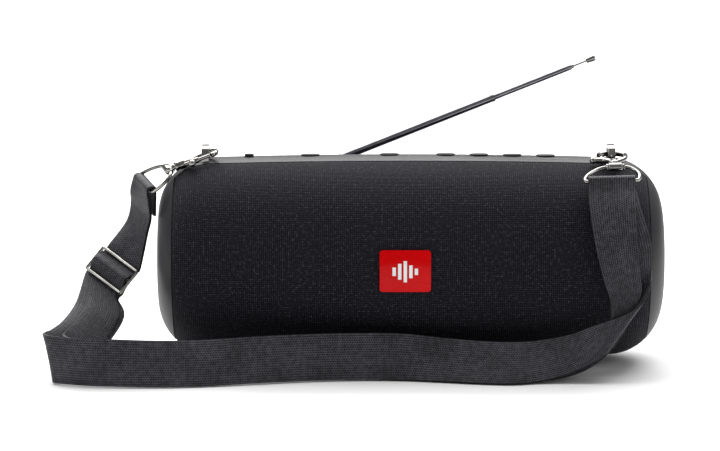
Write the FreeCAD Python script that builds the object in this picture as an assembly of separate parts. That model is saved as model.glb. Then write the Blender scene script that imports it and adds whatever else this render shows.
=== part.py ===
import FreeCAD, Part
import math
import os
from FreeCAD import Vector as V

# A portable tube speaker with a radio. X runs along the tube, -Y is the front, +Z is up.
# The origin is on the table, under the middle of the tube. Millimetres.

# ---- driving dimensions: the body -------------------------------------------------------
FOOT_PROUD = 1.5          # rubber foot below the tube
CROWN_R = 49.0            # tube radius at its middle
CROWN_BULGE_R = 3400.0    # the tube's long, nearly straight side
CORNER_R = 26.0           # rounded shoulder at each end
CORNER_X = 94.95          # centre of that shoulder, along the tube
FACE_R = 450.0            # slightly domed end face
END_X = 121.5             # half the tube's length
AXIS_Z = FOOT_PROUD + CROWN_R
SEAM_X = 113.0            # where fabric and spine meet the end caps
FABRIC_T = 1.2
CHASSIS_T = 2.6
CAP_T = 2.6
SPINE_ANGLE = 14.0        # half the spine's width, as an angle about the axis
CREASE = 0.15             # gap beside the fabric's edges

# ---- control panel ----------------------------------------------------------------------
PANEL_HALF_L = 80.0
PANEL_HALF_W = 8.4
PANEL_T = 1.3
BUTTON_X = {"power": -48.0, "mode": -10.0, "previous": 17.0, "play": 33.0, "next": 49.0, "light": 65.0}
BUTTON_L = 9.0
BUTTON_W = 6.0
BUTTON_PROUD = 0.7
STUD_X = (-0.5, 25.0, 41.0, 57.0)
STUD_R = 0.9

# ---- badge ------------------------------------------------------------------------------
BADGE_X = -3.0
BADGE_W = 24.0
BADGE_H = 19.5
BADGE_T = 2.0

# ---- speakers ---------------------------------------------------------------------------
DRIVER_X = 60.0
DRIVER_SEAT_Y = -40.0
FLANGE_R = 22.8
RADIATOR_R = 26.0

# ---- port bay, on the back --------------------------------------------------------------
BAY_HALF_L = 28.0
BAY_LOW_Z = 41.8
BAY_HIGH_Z = 59.4
BAY_BACK_Y = 45.0
COVER_OUT_Y = 48.0
COVER_PIN = V(0, 46.8, 43.2)
AUX_X = 18.0
AUX_R = 1.8
AUX_DEPTH = 12.0

# ---- antenna ----------------------------------------------------------------------------
PIVOT = V(-65.8, 38.6, 80.6)
RAISED = 21.7             # stored angle above the level, in degrees
LEDGE_X = (-75.0, 94.0)   # the ledge the stowed antenna lies on
NOTCH_Y = 35.9
NOTCH_Z = 78.0
OUTER_L = 116.0           # pivot to the outer tube's rim
DRAWN = (40.5, 1.3, 6.5)  # how far each inner section is drawn out
OUTER_TUBE = (2.00, 1.72)
MIDDLE_TUBE = (1.50, 1.22)
INNER_TUBE = (1.05, 0.80)
ROD_R = 0.50
SECTION_L = (66.0, 61.0, 56.0)
RUN_GAP = 0.05            # running clearance on a radius

# ---- strap hardware ---------------------------------------------------------------------
WIRE_R = 0.95
ELBOW_R = 0.99            # the wire swells a little at its bends
RING_SHOULDER = 3.4       # the ring's sides run square to its bar for this far
EYE_BLOCK_R = 2.1
JAW_R = 6.0
JAW_WIRE = 1.5
STRAP_T = 1.4
HOOKS = {
    "left": {"eye": V(-116.0, -10.0, 93.6), "tip": V(-93.5, -7.5, 101.7), "gate": -1,
             "bar": (V(-123.0, -17.4, 83.5), V(-131.8, 5.4, 88.3))},
    "right": {"eye": V(96.5, -27.0, 96.8), "tip": V(96.2, -2.0, 100.5), "gate": 1,
              "bar": (V(81.3, -36.5, 91.0), V(106.9, -35.5, 91.6))},
}
JAW_X = 18.0              # jaw centre, from the swivel eye
HOOK_BARREL_R = 2.4
BOLT_Y = 5.0              # the sprung bolt runs beside the jaw's centre line
BOLT_R = 0.9
SLIDER = (25.4, 14.5)     # slide adjuster, across and along the strap
SLIDER_WIRE = 0.8

# ---- the strap: pairs of edge points along the webbing, chosen by hand ------------------
# The first edge is the near one at the left ring, the lower one along the front, and the
# left-hand one on the right. The stretches at the rings and the slide adjuster are worked out.
STRAP_HALF_W = 11.0
SLIDER_AT = V(-142.8, -16.2, 46.0)
SLIDER_ACROSS = V(0.709, -0.564, -0.418)
SLIDER_ALONG = V(0.41, 0.37, 0.83)
SLIDER_WEAVE = ((9.2, 1.1), (6.4, 1.75), (3.2, 0.0), (0.0, -1.75), (-3.2, 0.0), (-6.4, 1.75), (-9.2, 1.1))
SEWN_END = ((-9.4, 4.2), (-6.4, 3.9), (-3.2, 2.6), (0.0, 1.8), (2.6, 1.8))
SEWN_FLAP = [
    (V(-121.9, -16.8, 72.0), V(-132.0, 2.4, 76.6)),
]
LEFT_DROP = [
    (V(-124.4, -17.9, 77.4), V(-134.4, 1.4, 82.2)),
    (V(-123.9, -18.2, 71.0), V(-134.2, 1.0, 75.6)),
    (V(-125.6, -19.4, 63.6), V(-136.5, -0.6, 67.0)),
]
FRONT_RUN = [
    (V(-138.2, -31.2, 26.7), V(-159.2, -26.8, 31.7)),
    (V(-143.5, -41.0, 16.2), V(-164.2, -41.0, 25.4)),
    (V(-152.5, -51.6, 8.0), V(-169.0, -50.6, 22.8)),
    (V(-161.8, -59.4, 2.8), V(-171.4, -57.0, 22.8)),
    (V(-166.4, -65.0, 0.8), V(-170.2, -61.6, 22.4)),
    (V(-160.3, -69.3, 0.7), V(-163.2, -66.0, 22.2)),
    (V(-150.0, -73.2, 0.7), V(-151.6, -70.0, 22.2)),
    (V(-139.5, -75.4, 0.7), V(-140.0, -71.5, 22.2)),
    (V(-118.6, -76.6, 0.7), V(-119.1, -68.2, 20.8)),
    (V(-96.6, -74.2, 0.7), V(-97.0, -65.3, 20.6)),
    (V(-72.4, -67.6, 0.7), V(-72.4, -63.6, 22.1)),
    (V(-49.3, -61.5, 0.7), V(-49.3, -57.6, 22.1)),
    (V(-26.0, -58.7, 0.7), V(-26.0, -54.9, 22.1)),
    (V(-5.5, -59.0, 0.7), V(-5.0, -51.9, 21.3)),
    (V(13.5, -63.2, 0.7), V(14.2, -51.5, 19.1)),
    (V(32.4, -68.1, 0.7), V(33.3, -54.9, 18.0)),
    (V(46.2, -69.6, 0.7), V(47.8, -56.7, 17.9)),
    (V(58.0, -66.6, 1.2), V(61.0, -53.0, 18.2)),
    (V(70.8, -65.0, 4.0), V(74.5, -53.5, 21.0)),
    (V(80.2, -64.6, 8.0), V(86.0, -56.0, 25.8)),
    (V(87.0, -64.0, 12.0), V(97.6, -59.0, 30.4)),
    (V(90.4, -62.6, 14.4), V(105.0, -59.0, 35.2)),
    (V(92.4, -58.6, 16.6), V(110.0, -55.6, 40.8)),
    (V(93.0, -54.2, 19.6), V(111.8, -51.6, 46.6)),
    (V(93.0, -51.6, 27.0), V(112.2, -49.6, 53.0)),
    (V(92.4, -50.8, 40.0), V(112.4, -49.6, 61.0)),
    (V(89.4, -50.4, 58.0), V(110.4, -49.8, 70.0)),
    (V(85.6, -45.0, 76.0), V(107.4, -44.2, 79.0)),
    (V(83.6, -36.2, 86.4), V(105.6, -35.4, 87.6)),
]
INNER_HANG = [
    (V(83.0, -40.4, 86.6), V(105.0, -39.8, 87.6)),
    (V(83.2, -45.4, 79.6), V(104.8, -45.0, 81.0)),
    (V(84.6, -50.6, 68.8), V(105.0, -50.4, 70.2)),
    (V(86.8, -53.6, 57.0), V(105.8, -53.6, 58.4)),
    (V(89.8, -54.6, 46.0), V(106.6, -54.4, 49.4)),
    (V(92.4, -55.0, 38.0), V(107.0, -54.8, 41.4)),
    (V(93.2, -55.8, 31.0), V(104.4, -55.4, 33.6)),
    (V(92.0, -55.6, 24.6), V(99.6, -55.6, 23.6)),
    (V(87.4, -54.4, 21.6), V(92.6, -56.0, 13.2)),
    (V(79.6, -51.0, 19.6), V(82.0, -57.6, 5.4)),
    (V(68.0, -48.6, 17.0), V(69.0, -58.6, 1.4)),
    (V(52.0, -50.4, 15.4), V(51.0, -62.4, 0.7)),
    (V(33.0, -50.6, 15.6), V(32.0, -62.6, 0.7)),
    (V(14.0, -46.8, 17.0), V(13.0, -57.0, 0.7)),
    (V(-5.6, -46.0, 19.2), V(-6.0, -53.2, 0.7)),
    (V(-26.0, -48.6, 20.4), V(-26.0, -52.6, 0.7)),
    (V(-49.0, -51.4, 20.4), V(-49.0, -55.6, 0.7)),
    (V(-72.2, -56.6, 20.2), V(-72.2, -60.8, 0.7)),
    (V(-96.0, -59.4, 18.8), V(-95.6, -68.0, 0.7)),
    (V(-118.2, -62.4, 19.0), V(-117.6, -70.4, 0.7)),
    (V(-138.8, -65.0, 20.4), V(-138.2, -68.8, 0.7)),
    (V(-151.0, -62.8, 20.6), V(-150.0, -66.0, 0.7)),
    (V(-158.8, -60.2, 20.8), V(-157.6, -63.0, 0.8)),
    (V(-162.6, -55.4, 21.4), V(-156.8, -58.0, 3.2)),
    (V(-161.4, -49.2, 23.0), V(-149.2, -50.0, 9.0)),
    (V(-157.6, -39.4, 26.4), V(-141.4, -39.6, 16.6)),
    (V(-153.4, -26.6, 32.4), V(-136.0, -29.8, 25.8)),
]


def solid_of(shape):
    """The clean solid, or solids, of a boolean result."""
    cleaned = shape.removeSplitter()
    return cleaned.Solids[0] if len(cleaned.Solids) == 1 else Part.makeCompound(cleaned.Solids)


def save(name, shape):
    result = solid_of(shape) if shape.Solids else shape
    if not result.isValid():
        print("not valid:", name)
    result.exportStep("parts/" + name + ".step")
    print(name, len(result.Solids), round(result.Volume, 1))


def box(x0, x1, y0, y1, z0, z1):
    return Part.makeBox(x1 - x0, y1 - y0, z1 - z0, V(x0, y0, z0))


def rod(start, end, radius):
    return Part.makeCylinder(radius, (end - start).Length, start, end - start)


def tube(start, end, outer, inner):
    return rod(start, end, outer).cut(rod(start, end, inner))


def capsule(half_l, half_w, z0, z1, x=0.0, y=0.0):
    """An upright slab with round ends, longer along X."""
    flat = half_l - half_w
    middle = box(x - flat, x + flat, y - half_w, y + half_w, z0, z1)
    ends = [Part.makeCylinder(half_w, z1 - z0, V(x + s * flat, y, z0)) for s in (-1, 1)]
    return middle.multiFuse(ends).removeSplitter()


# ---- the barrel -------------------------------------------------------------------------
def barrel(inset=0.0):
    """The tube's outer shape, taken in by inset: crown, shoulder and face arcs turned about X."""
    crown_c = V(0, CROWN_R - CROWN_BULGE_R, 0)
    corner_r_from_axis = crown_c.y + math.sqrt((CROWN_BULGE_R - CORNER_R) ** 2 - CORNER_X ** 2)
    corner_c = V(CORNER_X, corner_r_from_axis, 0)
    face_c = V(END_X - FACE_R, 0, 0)

    def on_circle(centre, radius, toward):
        return centre + (toward - centre).normalize() * radius

    top = V(0, CROWN_R - inset, 0)
    shoulder = on_circle(crown_c, CROWN_BULGE_R - inset, corner_c)
    face_edge = on_circle(face_c, FACE_R - inset, corner_c)
    middle_dir = (shoulder - corner_c).normalize() + (face_edge - corner_c).normalize()
    corner_mid = corner_c + middle_dir.normalize() * (CORNER_R - inset)
    crown_mid = on_circle(crown_c, CROWN_BULGE_R - inset, (top + shoulder) * 0.5)
    face_mid = on_circle(face_c, FACE_R - inset, face_edge * 0.5 + V((END_X - inset) * 0.5, 0, 0))
    tip = V(END_X - inset, 0, 0)
    edges = [
        Part.Arc(top, crown_mid, shoulder).toShape(),
        Part.Arc(shoulder, corner_mid, face_edge).toShape(),
        Part.Arc(face_edge, face_mid, tip).toShape(),
        Part.LineSegment(tip, V(0, 0, 0)).toShape(),
        Part.LineSegment(V(0, 0, 0), top).toShape(),
    ]
    half = Part.Face(Part.Wire(edges)).revolve(V(0, 0, 0), V(1, 0, 0), 360)
    whole = half.fuse(half.mirror(V(0, 0, 0), V(1, 0, 0)))
    whole.translate(V(0, 0, AXIS_Z))
    return whole.removeSplitter()


def wedge(half_angle, x0, x1):
    """A sector about the tube's axis, open to the top."""
    reach = 80.0
    side = reach * math.tan(math.radians(half_angle))
    corners = [V(x0, 0, AXIS_Z), V(x0, -side, AXIS_Z + reach), V(x0, side, AXIS_Z + reach), V(x0, 0, AXIS_Z)]
    return Part.Face(Part.makePolygon(corners)).extrude(V(x1 - x0, 0, 0))


def antenna_notch(grow=0.0):
    """The ledge the stowed antenna lies on, with a round pocket about the pivot."""
    ledge = box(LEDGE_X[0] - grow, LEDGE_X[1] + grow, NOTCH_Y - grow, 60, NOTCH_Z - grow, 110)
    pocket = rod(V(PIVOT.x, NOTCH_Y - grow, PIVOT.z), V(PIVOT.x, 60, PIVOT.z), 4.4 + grow)
    return ledge.fuse(pocket)


def port_hole(grow=0.0):
    return box(-BAY_HALF_L - 1.5 - grow, BAY_HALF_L + 1.5 + grow, 30, 60,
               BAY_LOW_Z - 1.5 - grow, BAY_HIGH_Z + 1.5 + grow)


OUTER = barrel()
UNDER_FABRIC = barrel(FABRIC_T)


def spine_blank():
    return OUTER.cut(barrel(CAP_T)).common(wedge(SPINE_ANGLE, -SEAM_X, SEAM_X))


def chassis():
    """The moulded body behind the fabric, before it is split into halves."""
    slab = box(-SEAM_X, SEAM_X, -60, 60, -10, 110)
    shell = UNDER_FABRIC.common(slab).cut(barrel(FABRIC_T + CHASSIS_T))
    pods = [rod(V(s * DRIVER_X, -50, AXIS_Z), V(s * DRIVER_X, -35, AXIS_Z), FLANGE_R + 3) for s in (-1, 1)]
    ledge_back = box(LEDGE_X[0] - 3, LEDGE_X[1] + 3, 31.0, 40, 74, 90)
    turntable_back = rod(V(PIVOT.x, 30, PIVOT.z), V(PIVOT.x, 37, PIVOT.z), 5.0)
    foot_back = box(-72, 72, -15, 15, 0, 6)
    extras = shell.multiFuse(pods + [ledge_back, turntable_back, foot_back])
    body = extras.common(UNDER_FABRIC.common(slab))
    for s in (-1, 1):
        x = s * DRIVER_X
        body = body.cut(rod(V(x, -55, AXIS_Z), V(x, DRIVER_SEAT_Y, AXIS_Z), FLANGE_R + 0.3))
        body = body.cut(rod(V(x, -55, AXIS_Z), V(x, -30, AXIS_Z), 20.2))
    body = body.cut(spine_blank())
    for x in BUTTON_X.values():
        body = body.cut(capsule(BUTTON_L / 2 + 0.4, BUTTON_W / 2 + 0.4, 80, 120, x))
    body = body.cut(antenna_notch())
    body = body.cut(rod(V(PIVOT.x, 33.2, PIVOT.z), V(PIVOT.x, 40, PIVOT.z), 3.25))
    body = body.cut(rod(V(PIVOT.x, 28, PIVOT.z), V(PIVOT.x, 40, PIVOT.z), 1.55))
    body = body.cut(port_hole())
    return body


def chassis_halves():
    body = chassis()
    front_space = box(-130, 130, -70, 0, -10, 120)
    back_space = box(-130, 130, 0, 70, -10, 120)
    boss_spots = [V(sx * 88.0, 0, AXIS_Z + sz * 41.5) for sx in (-1, 1) for sz in (-1, 1)]
    front = body.common(front_space)
    back = body.common(back_space)
    screws = []
    for spot in boss_spots:
        front = front.fuse(rod(spot + V(0, -12, 0), spot, 3.4).common(UNDER_FABRIC).cut(spine_blank()))
        back = back.fuse(rod(spot, spot + V(0, 12, 0), 3.4).common(UNDER_FABRIC).cut(spine_blank()))
    for spot in boss_spots:
        hole = rod(spot + V(0, -9, 0), spot + V(0, 8, 0), 1.25)
        head_hole = rod(spot + V(0, 8, 0), spot + V(0, 40, 0), 2.6)
        front = front.cut(hole)
        back = back.cut(hole).cut(head_hole)
        screw = rod(spot + V(0, -8.5, 0), spot + V(0, 8, 0), 1.25).fuse(rod(spot + V(0, 8, 0), spot + V(0, 10, 0), 2.4))
        screws.append(screw.cut(box(spot.x - 0.3, spot.x + 0.3, 9.2, 11, spot.z - 2, spot.z + 2)))
    save("chassis_front", front)
    save("chassis_rear", back)
    save("chassis_screws", Part.makeCompound([s.removeSplitter() for s in screws]))


def fabric():
    slab = box(-SEAM_X + CREASE, SEAM_X - CREASE, -60, 60, -10, 110)
    edge_angle = SPINE_ANGLE + math.degrees(CREASE / CROWN_R)
    skin = OUTER.common(slab).cut(UNDER_FABRIC)
    skin = skin.cut(wedge(edge_angle, -SEAM_X, SEAM_X))
    skin = skin.cut(antenna_notch(0.8)).cut(port_hole(0.2))
    skin = skin.cut(rod(V(PIVOT.x, 30, PIVOT.z), V(PIVOT.x, 60, PIVOT.z), 3.6))
    skin = skin.cut(capsule(70.3, 13.3, -5, 12))
    badge_slot = box(BADGE_X - 9, BADGE_X + 9, -60, -40, AXIS_Z - 7, AXIS_Z + 7)
    save("grille_fabric", skin.cut(badge_slot))


def end_cap(side, sign):
    """Dished end cap: a shell with a round seat for the passive radiator."""
    outside = box(SEAM_X, 130, -60, 60, -10, 120)
    shell = OUTER.cut(barrel(CAP_T)).common(outside)
    seat = tube(V(SEAM_X, 0, AXIS_Z), V(125, 0, AXIS_Z), RADIATOR_R + 2.4, RADIATOR_R)
    ring = tube(V(SEAM_X, 0, AXIS_Z), V(SEAM_X + 1.6, 0, AXIS_Z), RADIATOR_R + 1, RADIATOR_R - 3.0)
    cap = shell.fuse(seat.common(OUTER).common(outside))
    cap = cap.cut(rod(V(100, 0, AXIS_Z), V(130, 0, AXIS_Z), RADIATOR_R)).fuse(ring)
    if sign < 0:
        cap = cap.mirror(V(0, 0, 0), V(1, 0, 0))
    save("end_cap_" + side, cap)


def radiator(side, sign):
    """Passive radiator: a weighted disc, and the half-roll surround glued into the cap's seat."""
    base = SEAM_X + 1.6
    disc = rod(V(base + 0.4, 0, AXIS_Z), V(base + 2.0, 0, AXIS_Z), 17.6)
    weight = rod(V(base - 4.0, 0, AXIS_Z), V(base + 0.4, 0, AXIS_Z), 9.0)
    crest = rod(V(base + 2.0, 0, AXIS_Z), V(base + 2.8, 0, AXIS_Z), 13.5)
    moving = disc.fuse([weight, crest])
    roll = Part.makeTorus(21.0, 2.8, V(base + 0.2, 0, AXIS_Z), V(1, 0, 0))
    roll = roll.cut(Part.makeTorus(21.0, 2.0, V(base + 0.2, 0, AXIS_Z), V(1, 0, 0)))
    roll = roll.common(box(base + 0.2, base + 10, -60, 60, 0, 110))
    lip = tube(V(base, 0, AXIS_Z), V(base + 0.8, 0, AXIS_Z), RADIATOR_R, 23.2)
    surround = roll.fuse(lip)
    for name, shape in (("radiator_", moving), ("radiator_surround_", surround)):
        save(name + side, shape if sign > 0 else shape.mirror(V(0, 0, 0), V(1, 0, 0)))


def spine():
    """The plastic strip along the top, with the panel's oval recess and the lugs' sockets."""
    strip = spine_blank()
    recess = capsule(PANEL_HALF_L, PANEL_HALF_W, 80, 120).cut(barrel(PANEL_T))
    strip = strip.cut(recess)
    for x in BUTTON_X.values():
        strip = strip.cut(capsule(BUTTON_L / 2 + 0.4, BUTTON_W / 2 + 0.4, 80, 120, x))
    for spot in LUG_FEET:
        half_x = LUG_WIDE / 2
        half_y = LUG_THICK / 2
        strip = strip.cut(box(spot.x - half_x, spot.x + half_x, spot.y - half_y, spot.y + half_y, 80, 120))
    save("top_spine", strip)


def panel():
    """Soft oval panel: follows the crown, with an opening over each button."""
    body = capsule(PANEL_HALF_L - 0.1, PANEL_HALF_W - 0.1, 80, 120).common(OUTER).cut(barrel(PANEL_T))
    lip_x = -PANEL_HALF_L + 2.6
    top = AXIS_Z + CROWN_R - lip_x ** 2 / (2 * CROWN_BULGE_R)
    lip = Part.makeCylinder(2.2, 2.2, V(lip_x, 0, top - 0.9))
    body = body.fuse(lip)
    for x in BUTTON_X.values():
        body = body.cut(capsule(BUTTON_L / 2 + 0.15, BUTTON_W / 2 + 0.15, 80, 120, x))
    for x in STUD_X:
        body = body.cut(Part.makeCylinder(STUD_R, 40, V(x, 0, 80)))
    save("control_panel", body)


def buttons():
    for name, x in BUTTON_X.items():
        top = AXIS_Z + CROWN_R - x ** 2 / (2 * CROWN_BULGE_R)
        cap = capsule(BUTTON_L / 2, BUTTON_W / 2, top - 3.4, top + BUTTON_PROUD, x)
        rim = [e for e in cap.Edges if e.BoundBox.ZMin > top + BUTTON_PROUD - 0.01]
        cap = cap.makeFillet(0.5, rim)
        plunger = Part.makeCylinder(1.2, 1.6, V(x, 0, top - 5.0))
        save("button_" + name, cap.fuse(plunger))


def studs():
    pieces = []
    for x in STUD_X:
        top = AXIS_Z + CROWN_R - x ** 2 / (2 * CROWN_BULGE_R)
        shank = Part.makeCylinder(STUD_R, PANEL_T - 0.1, V(x, 0, top - PANEL_T + 0.1))
        pieces.append(shank.fuse(Part.makeSphere(STUD_R, V(x, 0, top)).common(box(x - 2, x + 2, -2, 2, top, top + 2))))
    save("indicator_studs", Part.makeCompound([p.removeSplitter() for p in pieces]))


def button_board():
    top = AXIS_Z + CROWN_R - 65.0 ** 2 / (2 * CROWN_BULGE_R)
    board = box(-62, 74, -7, 7, top - 8.6, top - 7.0)
    for x in BUTTON_X.values():
        board = board.fuse(box(x - 2.2, x + 2.2, -2.2, 2.2, top - 7.0, top - 5.9))
    save("button_board", board)


def badge():
    """Glossy plate that follows the front, with five raised level bars."""
    inner = barrel(0.0)
    blank = box(BADGE_X - BADGE_W / 2, BADGE_X + BADGE_W / 2, -60, -40, AXIS_Z - BADGE_H / 2, AXIS_Z + BADGE_H / 2)
    corners = [e for e in blank.Edges if abs(e.tangentAt(e.FirstParameter).y) > 0.99]
    blank = blank.makeFillet(1.5, corners)
    grown = barrel(-BADGE_T)
    plate = blank.common(grown).cut(inner)
    peg = box(BADGE_X - 8.8, BADGE_X + 8.8, -50, -47.7, AXIS_Z - 6.8, AXIS_Z + 6.8).common(inner).cut(UNDER_FABRIC)
    plate = plate.fuse(peg)
    bars = []
    for i, height in enumerate((4.0, 7.5, 10.0, 6.0, 3.0)):
        x = BADGE_X + (i - 2) * 2.6
        bar = box(x - 0.8, x + 0.8, -60, -40, AXIS_Z - height / 2, AXIS_Z + height / 2)
        bars.append(bar.common(barrel(-BADGE_T - 0.3)).cut(barrel(-BADGE_T + 0.4)))
    mark = Part.makeCompound(bars)
    save("badge_plate", plate.cut(mark))
    save("badge_bars", mark)


def foot():
    """Rubber foot in the bottom of the fabric."""
    pad = capsule(70.0, 13.0, 0.0, 10.0).cut(UNDER_FABRIC)
    lower = [e for e in pad.Edges if e.BoundBox.ZMax < 0.01]
    save("foot_pad", pad.makeChamfer(0.5, lower))


def driver(side, sign):
    x = sign * DRIVER_X

    def at(y):
        return V(x, y, AXIS_Z)

    def ring(y0, y1, outer, inner):
        return tube(at(y0), at(y1), outer, inner)

    flange = ring(-41.4, DRIVER_SEAT_Y, FLANGE_R, 19.6)
    basket = Part.makeCone(20.0, 13.4, 14.0, at(DRIVER_SEAT_Y), V(0, 1, 0))
    basket = basket.cut(Part.makeCone(18.6, 12.0, 14.0, at(DRIVER_SEAT_Y), V(0, 1, 0)))
    for i in range(4):
        window = box(x - 5, x + 5, -38, -28, AXIS_Z + 8, AXIS_Z + 30)
        window.rotate(at(0), V(0, 1, 0), 45 + 90 * i)
        basket = basket.cut(window)
    motor = rod(at(-26), at(-12), 13.4).cut(ring(-26.1, -18, 7.6, 5.4))
    save("driver_frame_" + side, flange.multiFuse([basket, motor]))
    roll = Part.makeTorus(17.4, 1.9, at(-41.2), V(0, 1, 0)).cut(Part.makeTorus(17.4, 1.3, at(-41.2), V(0, 1, 0)))
    roll = roll.common(box(x - 30, x + 30, -60, -41.2, 10, 100))
    save("driver_surround_" + side, roll)
    paper = Part.makeCone(15.2, 6.2, 8.0, at(-41.6), V(0, 1, 0))
    paper = paper.cut(Part.makeCone(14.6, 5.6, 8.0, at(-41.6), V(0, 1, 0)))
    former = ring(-34.0, -23.0, 6.8, 6.2)
    dome = Part.makeSphere(9.0, at(-31.0)).cut(Part.makeSphere(8.4, at(-31.0)))
    dome = dome.common(rod(at(-60), at(-35.0), 7.4))
    save("driver_cone_" + side, paper.multiFuse([former, dome]))


def battery():
    """Two round cells side by side in a cradle."""
    cells = [rod(V(-33, s * 9.6, 24.0), V(33, s * 9.6, 24.0), 9.1) for s in (-1, 1)]
    tray = box(-36, 36, -14, 14, 11.0, 16.0).fuse(box(-36, -33.2, -14, 14, 11, 30))
    tray = tray.fuse(box(33.2, 36, -14, 14, 11, 30))
    save("battery_tray", tray.common(barrel(FABRIC_T + CHASSIS_T + 0.3)).cut(Part.makeCompound(cells)))
    save("battery_cells", Part.makeCompound(cells))


def main_board():
    board = box(-42, 42, 8, 9.6, 50, 84)
    for cx, cz, w, h, t in ((-20, 70, 9, 9, 1.2), (8, 74, 14, 8, 1.6), (24, 62, 7, 7, 5.0), (-30, 58, 8, 6, 3.0)):
        board = board.fuse(box(cx - w / 2, cx + w / 2, 9.6, 9.6 + t, cz - h / 2, cz + h / 2))
    for s in (-1, 1):
        board = board.fuse(rod(V(s * 36, 9.6, 80), V(s * 36, 13, 80), 2.5))
    save("main_board", board)


def port_bay():
    """Bay in the back that holds the sockets, with side bores for the cover's pins."""
    outer = box(-BAY_HALF_L - 1.5, BAY_HALF_L + 1.5, BAY_BACK_Y - 1.6, 60, BAY_LOW_Z - 1.5, BAY_HIGH_Z + 1.5)
    bay = outer.common(OUTER)
    bay = bay.cut(box(-BAY_HALF_L, BAY_HALF_L, BAY_BACK_Y, 60, BAY_LOW_Z, BAY_HIGH_Z))
    for s in (-1, 1):
        start = V(s * (BAY_HALF_L - 0.5), COVER_PIN.y, COVER_PIN.z)
        bay = bay.cut(rod(start, start + V(s * 1.5, 0, 0), 0.65))
    for shape in (usb_body(0.0), charge_body(0.0), card_body(0.0)):
        bay = bay.cut(shape)
    bay = bay.cut(rod(V(AUX_X, 30, AXIS_Z), V(AUX_X, 60, AXIS_Z), 3.2))
    save("port_bay", bay)


def usb_body(shrink):
    return box(-15.2 + shrink, 0.2 - shrink, 32, BAY_BACK_Y, AXIS_Z - 3.6 + shrink, AXIS_Z + 3.6 - shrink)


def charge_body(shrink):
    return box(4.2 + shrink, 12.2 - shrink, 37, BAY_BACK_Y, AXIS_Z - 1.8 + shrink, AXIS_Z + 1.8 - shrink)


def card_body(shrink):
    return box(-24.6 + shrink, -18.2 - shrink, 34, BAY_BACK_Y, AXIS_Z - 7 + shrink, AXIS_Z + 7 - shrink)


def sockets():
    usb = usb_body(0.05).cut(box(-14.6, -0.4, 34, 50, AXIS_Z - 3.0, AXIS_Z + 3.0))
    usb = usb.fuse(box(-13.4, -1.6, 33.5, 44, AXIS_Z + 0.4, AXIS_Z + 2.2))
    save("usb_socket", usb)
    charge = charge_body(0.05).cut(box(4.9, 11.5, 38, 50, AXIS_Z - 1.1, AXIS_Z + 1.1))
    charge = charge.fuse(box(6.0, 10.4, 37.5, 44, AXIS_Z - 0.3, AXIS_Z + 0.3))
    save("charge_socket", charge)
    card = card_body(0.05).cut(box(-21.9, -20.9, 35, 50, AXIS_Z - 6.0, AXIS_Z + 6.0))
    save("card_socket", card)
    aux = rod(V(AUX_X, BAY_BACK_Y - AUX_DEPTH - 1.5, AXIS_Z), V(AUX_X, BAY_BACK_Y, AXIS_Z), 3.2)
    save("aux_socket", aux.cut(rod(V(AUX_X, BAY_BACK_Y - AUX_DEPTH, AXIS_Z), V(AUX_X, 60, AXIS_Z), AUX_R)))


def port_cover():
    """Flat cover with a rounded lower edge about its side pins, and a finger tab."""
    half = BAY_HALF_L - 0.3
    flat = box(-half, half, COVER_PIN.y - 1.2, COVER_OUT_Y, COVER_PIN.z, BAY_HIGH_Z - 0.3)
    edge = rod(V(-half, COVER_PIN.y, COVER_PIN.z), V(half, COVER_PIN.y, COVER_PIN.z), 1.2)
    pins = rod(V(-half - 0.9, COVER_PIN.y, COVER_PIN.z), V(half + 0.9, COVER_PIN.y, COVER_PIN.z), 0.6)
    tab = box(-5, 5, COVER_OUT_Y, COVER_OUT_Y + 1.2, BAY_HIGH_Z - 2.6, BAY_HIGH_Z - 0.8)
    save("port_cover", flat.multiFuse([edge, pins, tab]))


# ---- antenna: built level along +X from the pivot, then raised about Y -------------------
def raise_antenna(shape):
    shape.rotate(V(0, 0, 0), V(0, 1, 0), -RAISED)
    shape.translate(PIVOT)
    return shape


def antenna_base():
    """Turntable disc in the body, with two ears that hold the knuckle's pin."""
    disc_y = NOTCH_Y - PIVOT.y
    disc = rod(V(0, disc_y - 2.5, 0), V(0, disc_y, 0), 3.2)
    stem = rod(V(0, disc_y - 6.0, 0), V(0, disc_y - 2.5, 0), 1.5)
    ears = []
    for s in (-1, 1):
        ear = box(-2.2, 2.2, disc_y, 0, 1.5, 2.8).fuse(rod(V(0, 0, 1.5), V(0, 0, 2.8), 2.2))
        ears.append(ear if s > 0 else ear.mirror(V(0, 0, 0), V(0, 0, 1)))
    base = disc.multiFuse([stem] + ears)
    base = base.cut(rod(V(0, 0, -5), V(0, 0, 5), 0.8))
    save("antenna_base", raise_antenna(base))
    save("antenna_pin", raise_antenna(rod(V(0, 0, -3.0), V(0, 0, 3.0), 0.8)))


def antenna_outer():
    """Knuckle tab and outer tube, with a rolled rim."""
    tab = rod(V(0, 0, -1.45), V(0, 0, 1.45), 2.1).fuse(box(0, 5.0, -1.7, 1.7, -1.45, 1.45))
    neck = rod(V(4.4, 0, 0), V(9.0, 0, 0), OUTER_TUBE[0])
    sleeve = rod(V(9.0, 0, 0), V(OUTER_L, 0, 0), OUTER_TUBE[0])
    rim = rod(V(OUTER_L - 1.2, 0, 0), V(OUTER_L, 0, 0), OUTER_TUBE[0] + 0.1)
    shape = tab.multiFuse([neck, sleeve, rim])
    shape = shape.cut(rod(V(9.0, 0, 0), V(OUTER_L - 1.0, 0, 0), OUTER_TUBE[1]))
    shape = shape.cut(rod(V(50, 0, 0), V(OUTER_L + 1, 0, 0), MIDDLE_TUBE[0] + RUN_GAP))
    shape = shape.cut(rod(V(0, 0, -3), V(0, 0, 3), 0.85))
    save("antenna_outer_tube", raise_antenna(shape))


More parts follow.
